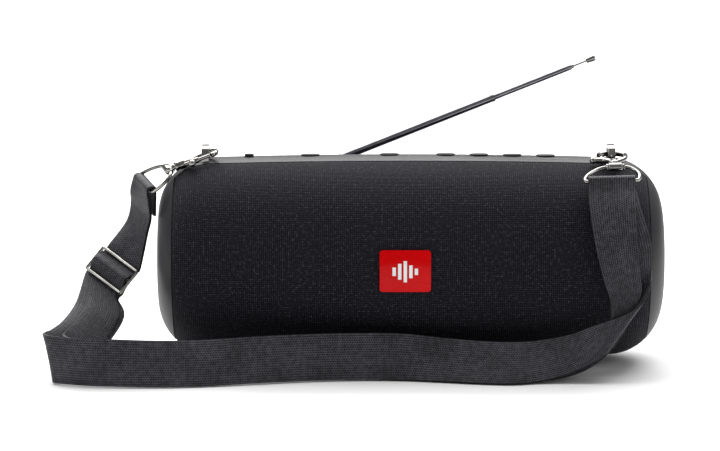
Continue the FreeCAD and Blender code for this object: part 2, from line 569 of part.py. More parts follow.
def antenna_section(name, start, end, radii, next_radius, bush_radius):
    """A sliding tube with a bush at its foot and a narrowed mouth for the next one."""
    shape = rod(V(start, 0, 0), V(end, 0, 0), radii[0])
    shape = shape.fuse(rod(V(start, 0, 0), V(start + 3, 0, 0), bush_radius))
    shape = shape.cut(rod(V(start - 1, 0, 0), V(end - 1, 0, 0), radii[1]))
    shape = shape.cut(rod(V(start - 1, 0, 0), V(end + 1, 0, 0), next_radius + RUN_GAP))
    save(name, raise_antenna(shape))


def antenna_sections():
    end_1 = OUTER_L + DRAWN[0]
    end_2 = end_1 + DRAWN[1]
    end_3 = end_2 + DRAWN[2]
    antenna_section("antenna_middle_tube", end_1 - SECTION_L[0], end_1, MIDDLE_TUBE, INNER_TUBE[0],
                    OUTER_TUBE[1] - RUN_GAP)
    antenna_section("antenna_inner_tube", end_2 - SECTION_L[1], end_2, INNER_TUBE, ROD_R,
                    MIDDLE_TUBE[1] - RUN_GAP)
    wire = rod(V(end_3 - SECTION_L[2], 0, 0), V(end_3, 0, 0), ROD_R)
    collar = rod(V(end_3 - SECTION_L[2], 0, 0), V(end_3 - SECTION_L[2] + 3.0, 0, 0), INNER_TUBE[1] - RUN_GAP)
    knob = Part.makeCone(1.3, 1.8, 4.0, V(end_3, 0, 0), V(1, 0, 0))
    crown = rod(V(end_3 + 4.0, 0, 0), V(end_3 + 4.8, 0, 0), 1.5)
    save("antenna_tip_rod", raise_antenna(wire.multiFuse([collar, knob, crown])))


# ---- lugs, hooks and rings --------------------------------------------------------------
def surface_z(x, y):
    """Height of the barrel's top at x, y, within its crown and shoulders."""
    if abs(x) < CORNER_X:
        radius = CROWN_R - x * x / (2 * CROWN_BULGE_R)
    else:
        centre = CROWN_R - CROWN_BULGE_R + math.sqrt((CROWN_BULGE_R - CORNER_R) ** 2 - CORNER_X ** 2)
        radius = centre + math.sqrt(CORNER_R ** 2 - (abs(x) - CORNER_X) ** 2)
    return AXIS_Z + math.sqrt(radius * radius - y * y)


LUG = {"left": V(-98.2, -7.9, 0), "right": V(96.3, -7.7, 0)}   # each arch's front leg
LUG_SPAN = 12.0
LUG_WIDE = 3.6
LUG_THICK = 1.8
LUG_RISE = 7.2
LUG_FEET = [spot + V(0, dy, 0) for spot in LUG.values() for dy in (0, LUG_SPAN)]


def lug(side):
    """A flat arch standing on the spine; the hook's jaw closes round its front leg."""
    front = LUG[side]
    mid_y = front.y + LUG_SPAN / 2
    reach = LUG_SPAN / 2 + LUG_THICK / 2
    base = surface_z(front.x, max(abs(front.y), abs(front.y + LUG_SPAN)))
    top = surface_z(front.x, front.y) + LUG_RISE
    outer = box(front.x - LUG_WIDE / 2, front.x + LUG_WIDE / 2, mid_y - reach, mid_y + reach, base - 1.6, top)
    upper = [e for e in outer.Edges if e.BoundBox.ZMin > top - 0.01 and e.BoundBox.XLength > 1]
    outer = outer.makeFillet(4.5, upper)
    inner = box(front.x - 3, front.x + 3, mid_y - reach + LUG_THICK, mid_y + reach - LUG_THICK, base - 3,
                top - LUG_THICK)
    upper = [e for e in inner.Edges if e.BoundBox.ZMin > top - LUG_THICK - 0.01 and e.BoundBox.XLength > 1]
    save("lug_" + side, outer.cut(inner.makeFillet(3.0, upper)))


def hook_placement(side):
    """Local x runs from the swivel eye to the jaw's tip, local z stands off the body."""
    eye = HOOKS[side]["eye"]
    along = (HOOKS[side]["tip"] - eye).normalize()
    up = (V(0, 0, 1) - along * along.z).normalize()
    across = up.cross(along)
    matrix = FreeCAD.Matrix(along.x, across.x, up.x, eye.x, along.y, across.y, up.y, eye.y,
                            along.z, across.z, up.z, eye.z, 0, 0, 0, 1)
    return matrix


def put(shape, side):
    shape.Placement = FreeCAD.Placement(hook_placement(side)).multiply(shape.Placement)
    return shape


def hook(side):
    """Cast hook: swivel barrel, neck and open jaw; its bolt slides beside the jaw's centre line."""
    s = HOOKS[side]["gate"]
    barrel_piece = rod(V(3.4, 0, 0), V(9.0, 0, 0), HOOK_BARREL_R)
    neck = Part.makeCone(HOOK_BARREL_R, 1.7, JAW_X - JAW_R - 9.0, V(9.0, 0, 0), V(1, 0, 0))
    jaw = Part.makeTorus(JAW_R, JAW_WIRE, V(JAW_X, 0, 0), V(0, 0, 1))
    mouth = box(JAW_X - 1.6, JAW_X + 2.6, min(s * 2.6, s * 9), max(s * 2.6, s * 9), -3, 3)
    body = barrel_piece.multiFuse([neck, jaw]).cut(mouth)
    bolt_line = V(0, s * BOLT_Y, 0)
    body = body.cut(rod(V(5, 0, 0) + bolt_line, V(JAW_X + 3.6, 0, 0) + bolt_line, BOLT_R + RUN_GAP))
    body = body.cut(rod(V(2, 0, 0), V(7.0, 0, 0), 1.3 + RUN_GAP))
    save("hook_" + side, put(body, side))
    bolt = rod(V(JAW_X - 9.6, 0, 0) + bolt_line, V(JAW_X + 3.2, 0, 0) + bolt_line, BOLT_R)
    stud_x = JAW_X - 6.2
    stud = rod(V(stud_x, s * BOLT_Y, 0), V(stud_x, s * (BOLT_Y + 4.6), 0), 1.4)
    head = Part.makeSphere(1.7, V(stud_x, s * (BOLT_Y + 4.6), 0))
    save("hook_bolt_" + side, put(bolt.multiFuse([stud, head]), side))


def swivel_and_ring(side):
    """The swivel's stud and eye, and the trapezoid wire ring that carries the strap."""
    eye = HOOKS[side]["eye"]
    near, far = HOOKS[side]["bar"]
    across = (near - far).normalize()
    along = (HOOKS[side]["tip"] - eye).normalize()
    block_ends = (eye + across * 4.6, eye - across * 4.6)
    eye_block = rod(block_ends[1], block_ends[0], EYE_BLOCK_R)
    stud = rod(eye, eye + along * 6.9, 1.3)
    save("swivel_" + side, eye_block.fuse(stud))
    inward = (eye - (near + far) * 0.5).normalize() * RING_SHOULDER
    corners = [block_ends[0], near + inward, near, far, far + inward, block_ends[1]]
    pieces = [rod(corners[i], corners[i + 1], WIRE_R) for i in range(5)]
    pieces += [Part.makeSphere(ELBOW_R, point) for point in corners[1:5]]
    save("ring_" + side, pieces[0].multiFuse(pieces[1:]).cut(eye_block))


# ---- strap ------------------------------------------------------------------------------
def smooth(points, steps):
    """Points on a smooth curve through the given ones."""
    padded = [points[0] * 2 - points[1]] + points + [points[-1] * 2 - points[-2]]
    out = []
    for i in range(1, len(padded) - 2):
        p0, p1, p2, p3 = padded[i - 1:i + 3]
        for k in range(steps):
            t = k / steps
            out.append((p1 * 2 + (p2 - p0) * t + (p0 * 2 - p1 * 5 + p2 * 4 - p3) * t ** 2
                        + (p1 * 3 - p0 - p2 * 3 + p3) * t ** 3) * 0.5)
    return out + [points[-1]]


def normals(first, second):
    """Unit normals of the ribbon between two edge lines."""
    out = []
    for i in range(len(first)):
        before = max(i - 1, 0)
        after = min(i + 1, len(first) - 1)
        path = (first[after] + second[after]) - (first[before] + second[before])
        out.append((second[i] - first[i]).cross(path).normalize())
    return out


def webbing(stations, steps=2):
    """A closed solid of webbing through the stations."""
    first = smooth([a for a, b in stations], steps)
    second = smooth([b for a, b in stations], steps)
    half = [n * (STRAP_T / 2) for n in normals(first, second)]
    corners = []
    for a, b, h in zip(first, second, half):
        corners += [a + h, b + h, b - h, a - h]
    last = len(corners) - 4
    triangles = [(0, 1, 2), (0, 2, 3), (last, last + 2, last + 1), (last, last + 3, last + 2)]
    for base in range(0, last, 4):
        for k in range(4):
            here, beside_it = base + k, base + (k + 1) % 4
            triangles += [(here, here + 4, beside_it + 4), (here, beside_it + 4, beside_it)]
    skin = Part.Shape()
    skin.makeShapeFromMesh((corners, triangles), 0.001)
    solid = Part.Solid(Part.Shell(skin.Faces))
    return solid if solid.Volume > 0 else solid.reversed()


def round_bar(side, radius, angles):
    """Stations where the webbing passes over a ring's bar; 90 degrees is its top."""
    near, far = HOOKS[side]["bar"]
    middle = (near + far) * 0.5
    width = (near - far).normalize() * STRAP_HALF_W
    up = (V(0, 0, 1) - width * (width.z / STRAP_HALF_W ** 2)).normalize()
    outward = V(width.y, -width.x, 0).normalize()
    stations = []
    for angle in angles:
        turn = math.radians(angle)
        at = middle + (up * math.sin(turn) - outward * math.cos(turn)) * radius
        stations.append((at + width, at - width))
    return stations


def at_slider(steps, first_sign):
    """Stations that weave through the slide adjuster: (up the strap, behind its plane)."""
    across = V(SLIDER_ACROSS).normalize()
    facing = across.cross(SLIDER_ALONG).normalize()
    along = facing.cross(across)
    width = across * (STRAP_HALF_W * first_sign)
    centres = [SLIDER_AT + along * up - facing * behind for up, behind in steps]
    return [(at + width, at - width) for at in centres]


def strap():
    """One length of webbing: left ring, slide adjuster, round the front, right ring, and back."""
    loop_r = WIRE_R + STRAP_T / 2 + 0.25
    stations = SEWN_FLAP + round_bar("left", loop_r, (0, 45, 90, 135, 180)) + LEFT_DROP
    stations += at_slider(SLIDER_WEAVE, 1) + FRONT_RUN
    stations += round_bar("right", loop_r, (180, 135, 90, 45, 0)) + INNER_HANG
    stations += at_slider(SEWN_END, -1)
    save("strap_webbing", webbing(stations))


def slider():
    """Wire frame and centre bar of the slide adjuster."""
    across = V(SLIDER_ACROSS).normalize()
    facing = across.cross(SLIDER_ALONG).normalize()
    half_w = across * (SLIDER[0] / 2 - SLIDER_WIRE)
    half_l = facing.cross(across) * (SLIDER[1] / 2 - SLIDER_WIRE)
    turns = ((1, 1), (-1, 1), (-1, -1), (1, -1))
    corners = [SLIDER_AT + half_w * w + half_l * l for w, l in turns]
    pieces = [rod(corners[i], corners[(i + 1) % 4], SLIDER_WIRE) for i in range(4)]
    pieces += [Part.makeSphere(SLIDER_WIRE, corner) for corner in corners]
    pieces.append(rod(SLIDER_AT + half_w, SLIDER_AT - half_w, SLIDER_WIRE))
    save("slide_adjuster", pieces[0].multiFuse(pieces[1:]))


def write_all():
    os.makedirs("parts", exist_ok=True)
    chassis_halves()
    fabric()
    for side, sign in (("left", -1), ("right", 1)):
        end_cap(side, sign)
        radiator(side, sign)
        driver(side, sign)
        lug(side)
        hook(side)
        swivel_and_ring(side)
    spine()
    panel()
    buttons()
    studs()
    button_board()
    badge()
    foot()
    battery()
    main_board()
    port_bay()
    sockets()
    port_cover()
    antenna_base()
    antenna_outer()
    antenna_sections()
    strap()
    slider()


write_all()
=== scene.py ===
import math

import bpy
from mathutils import Matrix, Vector


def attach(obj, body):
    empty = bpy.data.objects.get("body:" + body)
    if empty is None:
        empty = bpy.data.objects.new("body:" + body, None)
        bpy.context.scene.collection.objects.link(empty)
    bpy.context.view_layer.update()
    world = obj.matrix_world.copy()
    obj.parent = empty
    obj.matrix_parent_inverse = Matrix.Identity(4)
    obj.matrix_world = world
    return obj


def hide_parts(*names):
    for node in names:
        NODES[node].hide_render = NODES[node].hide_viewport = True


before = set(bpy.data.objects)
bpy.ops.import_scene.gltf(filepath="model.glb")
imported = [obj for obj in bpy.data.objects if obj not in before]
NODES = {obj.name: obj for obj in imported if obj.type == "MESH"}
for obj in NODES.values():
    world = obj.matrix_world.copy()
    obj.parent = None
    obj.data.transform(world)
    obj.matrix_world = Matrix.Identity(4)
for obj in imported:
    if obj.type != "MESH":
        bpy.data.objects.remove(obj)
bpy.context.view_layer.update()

MM = 0.001

# ---- the body's own sizes, in millimetres -------------------------------------------------
AXIS_Z = 50.5
CROWN_R = 49.0
CROWN_BULGE_R = 3400.0
SEAM_X = 113.0
CORNER_R = 26.0
CORNER_X = 94.95
SPINE_ANGLE = 14.0        # half the spine's width, in degrees about the barrel's axis
CLOTH_GAP = 0.15          # between the cloth and an end cap
SPINE_GAP = 0.18          # between the cloth and the spine, in degrees

# ---- the strap: pairs of edge points along the webbing ------------------------------------
STRAP_HALF_W = 11.0
WEBBING_T = 1.3
WEBBING_EDGE = 0.35       # how far its woven edge is rounded
RIBBON_STEPS = 5          # rows between two stations
RIBBON_COLUMNS = 8
RING_LOOP_R = 1.9         # the webbing's middle, where it turns round a ring's bar
RING_BARS = {"left": ((-123.0, -17.4, 83.5), (-131.8, 5.4, 88.3)),
             "right": ((81.3, -36.5, 91.0), (106.9, -35.5, 91.6))}
SLIDER_AT = (-142.8, -16.2, 46.0)
SLIDER_ACROSS = (0.709, -0.564, -0.418)
SLIDER_ALONG = (0.41, 0.37, 0.83)
SLIDER_WEAVE = ((9.2, 1.1), (6.4, 1.75), (3.2, 0.0), (0.0, -1.75), (-3.2, 0.0), (-6.4, 1.75), (-9.2, 1.1))
SEWN_END = ((-9.4, 4.2), (-6.4, 3.9), (-3.2, 2.6), (0.0, 1.8), (2.6, 1.8))
SEWN_FLAP = [
    ((-121.9, -16.8, 72.0), (-132.0, 2.4, 76.6)),
]
LEFT_DROP = [
    ((-124.4, -17.9, 77.4), (-134.4, 1.4, 82.2)),
    ((-123.9, -18.2, 71.0), (-134.2, 1.0, 75.6)),
    ((-125.6, -19.4, 63.6), (-136.5, -0.6, 67.0)),
]
FRONT_RUN = [
    ((-138.2, -31.2, 26.7), (-159.2, -26.8, 31.7)),
    ((-143.5, -41.0, 16.2), (-164.2, -41.0, 25.4)),
    ((-152.5, -51.6, 8.0), (-169.0, -50.6, 22.8)),
    ((-161.8, -59.4, 2.8), (-171.4, -57.0, 22.8)),
    ((-166.4, -65.0, 0.8), (-170.2, -61.6, 22.4)),
    ((-160.3, -69.3, 0.7), (-163.2, -66.0, 22.2)),
    ((-150.0, -73.2, 0.7), (-151.6, -70.0, 22.2)),
    ((-139.5, -75.4, 0.7), (-140.0, -71.5, 22.2)),
    ((-118.6, -76.6, 0.7), (-119.1, -68.2, 20.8)),
    ((-96.6, -74.2, 0.7), (-97.0, -65.3, 20.6)),
    ((-72.4, -67.6, 0.7), (-72.4, -63.6, 22.1)),
    ((-49.3, -61.5, 0.7), (-49.3, -57.6, 22.1)),
    ((-26.0, -58.7, 0.7), (-26.0, -54.9, 22.1)),
    ((-5.5, -59.0, 0.7), (-5.0, -51.9, 21.3)),
    ((13.5, -63.2, 0.7), (14.2, -51.5, 19.1)),
    ((32.4, -68.1, 0.7), (33.3, -54.9, 18.0)),
    ((46.2, -69.6, 0.7), (47.8, -56.7, 17.9)),
    ((58.0, -66.6, 1.2), (61.0, -53.0, 18.2)),
    ((70.8, -65.0, 4.0), (74.5, -53.5, 21.0)),
    ((80.2, -64.6, 8.0), (86.0, -56.0, 25.8)),
    ((87.0, -64.0, 12.0), (97.6, -59.0, 30.4)),
    ((90.4, -62.6, 14.4), (105.0, -59.0, 35.2)),
    ((92.4, -58.6, 16.6), (110.0, -55.6, 40.8)),
    ((93.0, -54.2, 19.6), (111.8, -51.6, 46.6)),
    ((93.0, -51.6, 27.0), (112.2, -49.6, 53.0)),
    ((92.4, -50.8, 40.0), (112.4, -49.6, 61.0)),
    ((89.4, -50.4, 58.0), (110.4, -49.8, 70.0)),
    ((85.6, -45.0, 76.0), (107.4, -44.2, 79.0)),
    ((83.6, -36.2, 86.4), (105.6, -35.4, 87.6)),
]
INNER_HANG = [
    ((83.0, -40.4, 86.6), (105.0, -39.8, 87.6)),
    ((83.2, -45.4, 79.6), (104.8, -45.0, 81.0)),
    ((84.6, -50.6, 68.8), (105.0, -50.4, 70.2)),
    ((86.8, -53.6, 57.0), (105.8, -53.6, 58.4)),
    ((89.8, -54.6, 46.0), (106.6, -54.4, 49.4)),
    ((92.4, -55.0, 38.0), (107.0, -54.8, 41.4)),
    ((93.2, -55.8, 31.0), (104.4, -55.4, 33.6)),
    ((92.0, -55.6, 24.6), (99.6, -55.6, 23.6)),
    ((87.4, -54.4, 21.6), (92.6, -56.0, 13.2)),
    ((79.6, -51.0, 19.6), (82.0, -57.6, 5.4)),
    ((68.0, -48.6, 17.0), (69.0, -58.6, 1.4)),
    ((52.0, -50.4, 15.4), (51.0, -62.4, 0.7)),
    ((33.0, -50.6, 15.6), (32.0, -62.6, 0.7)),
    ((14.0, -46.8, 17.0), (13.0, -57.0, 0.7)),
    ((-5.6, -46.0, 19.2), (-6.0, -53.2, 0.7)),
    ((-26.0, -48.6, 20.4), (-26.0, -52.6, 0.7)),
    ((-49.0, -51.4, 20.4), (-49.0, -55.6, 0.7)),
    ((-72.2, -56.6, 20.2), (-72.2, -60.8, 0.7)),
    ((-96.0, -59.4, 18.8), (-95.6, -68.0, 0.7)),
    ((-118.2, -62.4, 19.0), (-117.6, -70.4, 0.7)),
    ((-138.8, -65.0, 20.4), (-138.2, -68.8, 0.7)),
    ((-151.0, -62.8, 20.6), (-150.0, -66.0, 0.7)),
    ((-158.8, -60.2, 20.8), (-157.6, -63.0, 0.8)),
    ((-162.6, -55.4, 21.4), (-156.8, -58.0, 3.2)),
    ((-161.4, -49.2, 23.0), (-149.2, -50.0, 9.0)),
    ((-157.6, -39.4, 26.4), (-141.4, -39.6, 16.6)),
    ((-153.4, -26.6, 32.4), (-136.0, -29.8, 25.8)),
]


# ---- small helpers ------------------------------------------------------------------------
def linear(colour):
    """An sRGB hex colour as the linear RGBA that shaders take."""
    parts = [int(colour[i:i + 2], 16) / 255 for i in (1, 3, 5)]
    return tuple(c / 12.92 if c <= 0.04045 else ((c + 0.055) / 1.055) ** 2.4 for c in parts) + (1.0,)


def add(tree, kind, inputs=None, **settings):
    """Adds a node, with its settings, and the values or links of its inputs."""
    made = tree.nodes.new(kind)
    for name, value in settings.items():
        setattr(made, name, value)
    for key, value in (inputs or {}).items():
        if isinstance(value, bpy.types.NodeSocket):
            tree.links.new(value, made.inputs[key])
        else:
            made.inputs[key].default_value = value
    return made


def new_material(name, **sockets):
    """A material with one Principled shader, whose uniform values are set on its own sockets."""
    material = bpy.data.materials.new(name)
    material.use_nodes = True
    tree = material.node_tree
    shader = tree.nodes["Principled BSDF"]
    for key, value in sockets.items():
        shader.inputs[key.replace("_", " ")].default_value = value
    return material, tree, shader


def ramp(tree, factor, stops):
    """A colour ramp through (position, hex colour) stops."""
    made = add(tree, "ShaderNodeValToRGB", {"Fac": factor})
    elements = made.color_ramp.elements
    while len(elements) < len(stops):
        elements.new(0.5)
    for element, (position, colour) in zip(elements, stops):
        element.position = position
        element.color = linear(colour)
    return made.outputs["Color"]


def maths(tree, operation, a, b=0.0):
    """One sum on two values or links."""
    return add(tree, "ShaderNodeMath", {0: a, 1: b}, operation=operation).outputs[0]


def spread(tree, factor, low, high):
    """Turns a 0 to 1 pattern into a low to high one."""
    return add(tree, "ShaderNodeMapRange", {"Value": factor, "To Min": low, "To Max": high}).outputs["Result"]


def wave_scale(period):
    """The Wave texture's scale for bands that repeat at this many metres."""
    return 2 * math.pi / (20 * period)


def relief(tree, shader, height, depth, strength=1.0):
    """Puts a height pattern on the surface as bump, depth in metres."""
    bump = add(tree, "ShaderNodeBump", {"Height": height, "Distance": depth, "Strength": strength})
    tree.links.new(bump.outputs["Normal"], shader.inputs["Normal"])


# ---- materials ----------------------------------------------------------------------------
def speaker_cloth():
    """Woven polyester speaker cloth: matt near-black, a fine grid of brighter thread tops with
    an odd light fleck. Threads are 0.5 mm apart, drawn at 0.95 mm so that the grid shows."""
    material, tree, shader = new_material("woven polyester speaker cloth", Roughness=0.85, Sheen_Weight=0.03,
                                          Sheen_Roughness=0.4, Specular_IOR_Level=0.16)
    thread = 0.95 * MM
    uv = add(tree, "ShaderNodeUVMap", uv_map="cloth").outputs["UV"]
    warp = add(tree, "ShaderNodeTexWave", {"Vector": uv, "Scale": wave_scale(thread)}, bands_direction="X")
    weft = add(tree, "ShaderNodeTexWave", {"Vector": uv, "Scale": wave_scale(thread)}, bands_direction="Y")
    tops = maths(tree, "MULTIPLY", warp.outputs["Fac"], weft.outputs["Fac"])
    uneven = add(tree, "ShaderNodeTexNoise", {"Vector": uv, "Scale": 620.0, "Detail": 2.0}).outputs["Fac"]
    picked = maths(tree, "MULTIPLY", maths(tree, "SUBTRACT", uneven, 0.30), 2.4)
    lit = maths(tree, "MULTIPLY", tops, maths(tree, "MAXIMUM", picked, 0.3))
    colour = ramp(tree, lit, ((0.0, "#0c0b10"), (0.45, "#2b2a33"), (1.0, "#72717c")))
    tree.links.new(colour, shader.inputs["Base Color"])
    relief(tree, shader, tops, 0.2 * MM)
    return material


def webbing():
    """Polypropylene webbing: charcoal, with 1.1 mm ribs that run in a zigzag of two twills, and
    the low gleam of smooth yarn on their tops. Broad lighter and darker patches along it are
    painted shade, standing in for the light and shade where the webbing undulates."""
    rib = 1.1 * MM
    pick_pitch = 1.15 * MM
    twill_slope = 1.1
    material, tree, shader = new_material("ribbed polypropylene webbing", Roughness=0.52, Sheen_Weight=0.03,
                                          Sheen_Roughness=0.35, Specular_IOR_Level=0.26)
    uv = add(tree, "ShaderNodeUVMap", uv_map="cloth").outputs["UV"]
    parts = add(tree, "ShaderNodeSeparateXYZ", {"Vector": uv})
    along = parts.outputs["Y"]
    fold = maths(tree, "PINGPONG", parts.outputs["X"], rib)
    slanted = maths(tree, "ADD", along, maths(tree, "MULTIPLY", fold, twill_slope))
    phase = maths(tree, "MULTIPLY", slanted, 2 * math.pi / pick_pitch)
    twill = spread(tree, maths(tree, "SINE", phase), 0.5, 1.0)
    yarn = add(tree, "ShaderNodeTexWave", {"Vector": uv, "Scale": wave_scale(rib)},
               bands_direction="X").outputs["Fac"]
    weave = maths(tree, "MULTIPLY", twill, spread(tree, yarn, 0.45, 1.0))
    fuzz = add(tree, "ShaderNodeTexNoise", {"Vector": uv, "Scale": 420.0, "Detail": 4.0}).outputs["Fac"]
    # painted shade: these broad lighter and darker patches, multiplied with the fine yarn fuzz, stand in for
    # the light and shade where the webbing undulates
    undulation_shade = add(tree, "ShaderNodeTexNoise", {"Vector": uv, "Scale": 55.0, "Detail": 2.0}).outputs["Fac"]
    fuzz_and_undulation_shade = maths(tree, "MULTIPLY", spread(tree, fuzz, 0.3, 1.7), spread(tree, undulation_shade, 0.55, 1.45))
    tone = maths(tree, "MULTIPLY", weave, fuzz_and_undulation_shade)
    colour = ramp(tree, tone, ((0.0, "#060608"), (0.35, "#17171a"), (1.0, "#5c5b63")))
    tree.links.new(colour, shader.inputs["Base Color"])
    relief(tree, shader, weave, 0.2 * MM)
    return material


def moulded(name, dark, light, roughness, grain, depth, **sockets):
    """Moulded plastic or rubber: a spark-eroded grain this coarse, and a faint cloudiness in the
    gloss from handling."""
    material, tree, shader = new_material(name, **sockets)
    place = add(tree, "ShaderNodeTexCoord").outputs["Object"]
    cloud = add(tree, "ShaderNodeTexNoise", {"Vector": place, "Scale": 45.0, "Detail": 4.0}).outputs["Fac"]
    skin = add(tree, "ShaderNodeTexNoise", {"Vector": place, "Scale": 1 / grain,
                                            "Detail": 2.0}).outputs["Fac"]
    tree.links.new(ramp(tree, cloud, ((0.25, dark), (0.75, light))), shader.inputs["Base Color"])
    tree.links.new(spread(tree, cloud, roughness - 0.05, roughness + 0.06), shader.inputs["Roughness"])
    relief(tree, shader, skin, depth)
    return material


def plated(name, dark, light, roughness, wear):
    """Bright metal: a tight reflection, clouded a little where fingers and webbing rub it, with
    hair scratches 0.3 mm apart."""
    scratches = (3000.0, 400.0, 400.0)
    material, tree, shader = new_material(name, Metallic=1.0)
    place = add(tree, "ShaderNodeTexCoord").outputs["Object"]
    smear = add(tree, "ShaderNodeTexNoise", {"Vector": place, "Scale": 160.0, "Detail": 5.0}).outputs["Fac"]
    drawn = add(tree, "ShaderNodeMapping", {"Vector": place, "Scale": scratches}).outputs["Vector"]
    hair = add(tree, "ShaderNodeTexNoise", {"Vector": drawn, "Scale": 1.0, "Detail": 2.0}).outputs["Fac"]
    tree.links.new(ramp(tree, smear, ((0.3, dark), (0.7, light))), shader.inputs["Base Color"])
    tree.links.new(spread(tree, smear, roughness, roughness + wear), shader.inputs["Roughness"])
    relief(tree, shader, hair, 0.004 * MM)
    return material


def board_green():
    """Solder-masked fibreglass: dull green with the lighter ghost of copper tracks 2 mm apart."""
    material, tree, shader = new_material("solder-masked fibreglass", Roughness=0.42)
    place = add(tree, "ShaderNodeTexCoord").outputs["Object"]
    tracks = add(tree, "ShaderNodeTexBrick", {"Vector": place, "Scale": 90.0, "Mortar Size": 0.06,
                                              "Color1": linear("#0f4a2a"), "Color2": linear("#13582f"),
                                              "Mortar": linear("#2d7a45")}).outputs["Color"]
    tree.links.new(tracks, shader.inputs["Base Color"])
    return material


def paint(node, material):
    """Gives a kept CAD node its finish."""
    owner = NODES[node]
    if not owner.material_slots:
        owner.data.materials.append(material)
    for place in owner.material_slots:
        place.material = material


# ---- staging ------------------------------------------------------------------------------
def set_camera():
    """A long lens, a little above the object and looking slightly down."""
    bpy.ops.object.camera_add(location=(-0.02415, -1.48339, 0.27361), rotation=(math.radians(82.0), 0.0, 0.0))
    camera = bpy.context.object
    camera.data.sensor_width = 36.0
    camera.data.lens = 155.25
    camera.data.clip_start = 0.01
    bpy.context.scene.camera = camera


def softbox(name, place, aim, size, power):
    """A soft rectangular light at place, facing aim."""
    bpy.ops.object.light_add(type="AREA", location=place)
    lamp = bpy.context.object
    lamp.name = name
    lamp.rotation_euler = (Vector(aim) - Vector(place)).to_track_quat("-Z", "Y").to_euler()
    lamp.data.shape = "RECTANGLE"
    lamp.data.size, lamp.data.size_y = size
    lamp.data.energy = power


def set_stage():
    """A pale studio floor, an overhead softbox, weak side boxes and an even white surround."""
    bpy.ops.mesh.primitive_plane_add(size=24.0, location=(0, 4.0, 0))
    floor = bpy.context.object
    floor.name = "studio_floor"
    material, tree, shader = new_material("matt white studio board", Roughness=0.6, Specular_IOR_Level=0.2)
    place = add(tree, "ShaderNodeTexCoord").outputs["Object"]
    cloud = add(tree, "ShaderNodeTexNoise", {"Vector": place, "Scale": 2.0, "Detail": 2.0}).outputs["Fac"]
    tree.links.new(ramp(tree, cloud, ((0.3, "#f6f6f6"), (0.7, "#f8f8f8"))), shader.inputs["Base Color"])
    floor.data.materials.append(material)
    softbox("overhead_box", (0.0, 0.30, 1.15), (0.0, 0.0, 0.05), (1.7, 0.9), 18.0)
    softbox("backdrop_box", (0.0, 2.30, 2.0), (0.0, 2.30, 0.0), (4.0, 2.4), 150.0)
    softbox("left_box", (-1.3, -0.7, 0.7), (0.0, 0.0, 0.05), (0.4, 0.9), 3.0)
    softbox("right_box", (1.3, -0.5, 0.6), (0.0, 0.0, 0.05), (0.4, 0.9), 2.4)
    world = bpy.data.worlds.new("white surround")
    world.use_nodes = True
    world.node_tree.nodes["Background"].inputs["Color"].default_value = (1.0, 1.0, 1.0, 1.0)
    world.node_tree.nodes["Background"].inputs["Strength"].default_value = 0.30
    bpy.context.scene.world = world
    bpy.context.scene.view_settings.view_transform = "Standard"


# ---- the strap ----------------------------------------------------------------------------
def smooth(points, steps):
    """Points on a smooth curve through the given ones."""
    padded = [points[0] * 2 - points[1]] + points + [points[-1] * 2 - points[-2]]
    out = []
    for i in range(1, len(padded) - 2):
        p0, p1, p2, p3 = padded[i - 1:i + 3]
        for k in range(steps):
            t = k / steps
            out.append((p1 * 2 + (p2 - p0) * t + (p0 * 2 - p1 * 5 + p2 * 4 - p3) * t ** 2
                        + (p1 * 3 - p0 - p2 * 3 + p3) * t ** 3) * 0.5)
    return out + [points[-1]]


def round_bar(side, angles):
    """Stations where the webbing passes over a ring's bar; 90 degrees is its top."""
    near, far = (Vector(end) for end in RING_BARS[side])
    middle = (near + far) * 0.5
    width = (near - far).normalized() * STRAP_HALF_W
    up = (Vector((0, 0, 1)) - width * (width.z / STRAP_HALF_W ** 2)).normalized()
    outward = Vector((width.y, -width.x, 0)).normalized()
    stations = []
    for angle in angles:
        turn = math.radians(angle)
        at = middle + (up * math.sin(turn) - outward * math.cos(turn)) * RING_LOOP_R
        stations.append((at + width, at - width))
    return stations


def at_slider(steps, first_sign):
    """Stations that weave through the slide adjuster: (up the strap, behind its plane)."""
    across = Vector(SLIDER_ACROSS).normalized()
    facing = across.cross(Vector(SLIDER_ALONG)).normalized()
    along = facing.cross(across)
    width = across * (STRAP_HALF_W * first_sign)
    centres = [Vector(SLIDER_AT) + along * up - facing * behind for up, behind in steps]
    return [(at + width, at - width) for at in centres]


def pairs(rows):
    """A table of edge points as vectors."""
    return [(Vector(a), Vector(b)) for a, b in rows]


def ribbon(name, stations, steps, columns):
    """A strip of cloth through the stations, with a metre-true UV map, and its length in metres."""
    first = smooth([a for a, b in stations], steps)
    second = smooth([b for a, b in stations], steps)
    middle = [(a + b) * 0.5 for a, b in zip(first, second)]
    run = [0.0]
    for before, after in zip(middle, middle[1:]):
        run.append(run[-1] + (after - before).length * MM)
    verts = []
    for a, b in zip(first, second):
        verts += [(a + (b - a) * (c / columns)) * MM for c in range(columns + 1)]
    stride = columns + 1
    faces = []
    for row in range(len(first) - 1):
        for c in range(columns):
            here = row * stride + c
            faces.append((here, here + 1, here + stride + 1, here + stride))
    mesh = bpy.data.meshes.new(name)
    mesh.from_pydata([tuple(v) for v in verts], [], faces)
    layer = mesh.uv_layers.new(name="cloth")
    for loop in mesh.loops:
        row, c = divmod(loop.vertex_index, stride)
        layer.data[loop.index].uv = (2 * STRAP_HALF_W * MM * c / columns, run[row])
    piece = bpy.data.objects.new(name, mesh)
    bpy.context.scene.collection.objects.link(piece)
    return piece, run[-1]


def pick(piece):
    """Selects one piece alone and makes it active."""
    bpy.ops.object.select_all(action="DESELECT")
    piece.select_set(True)
    bpy.context.view_layer.objects.active = piece


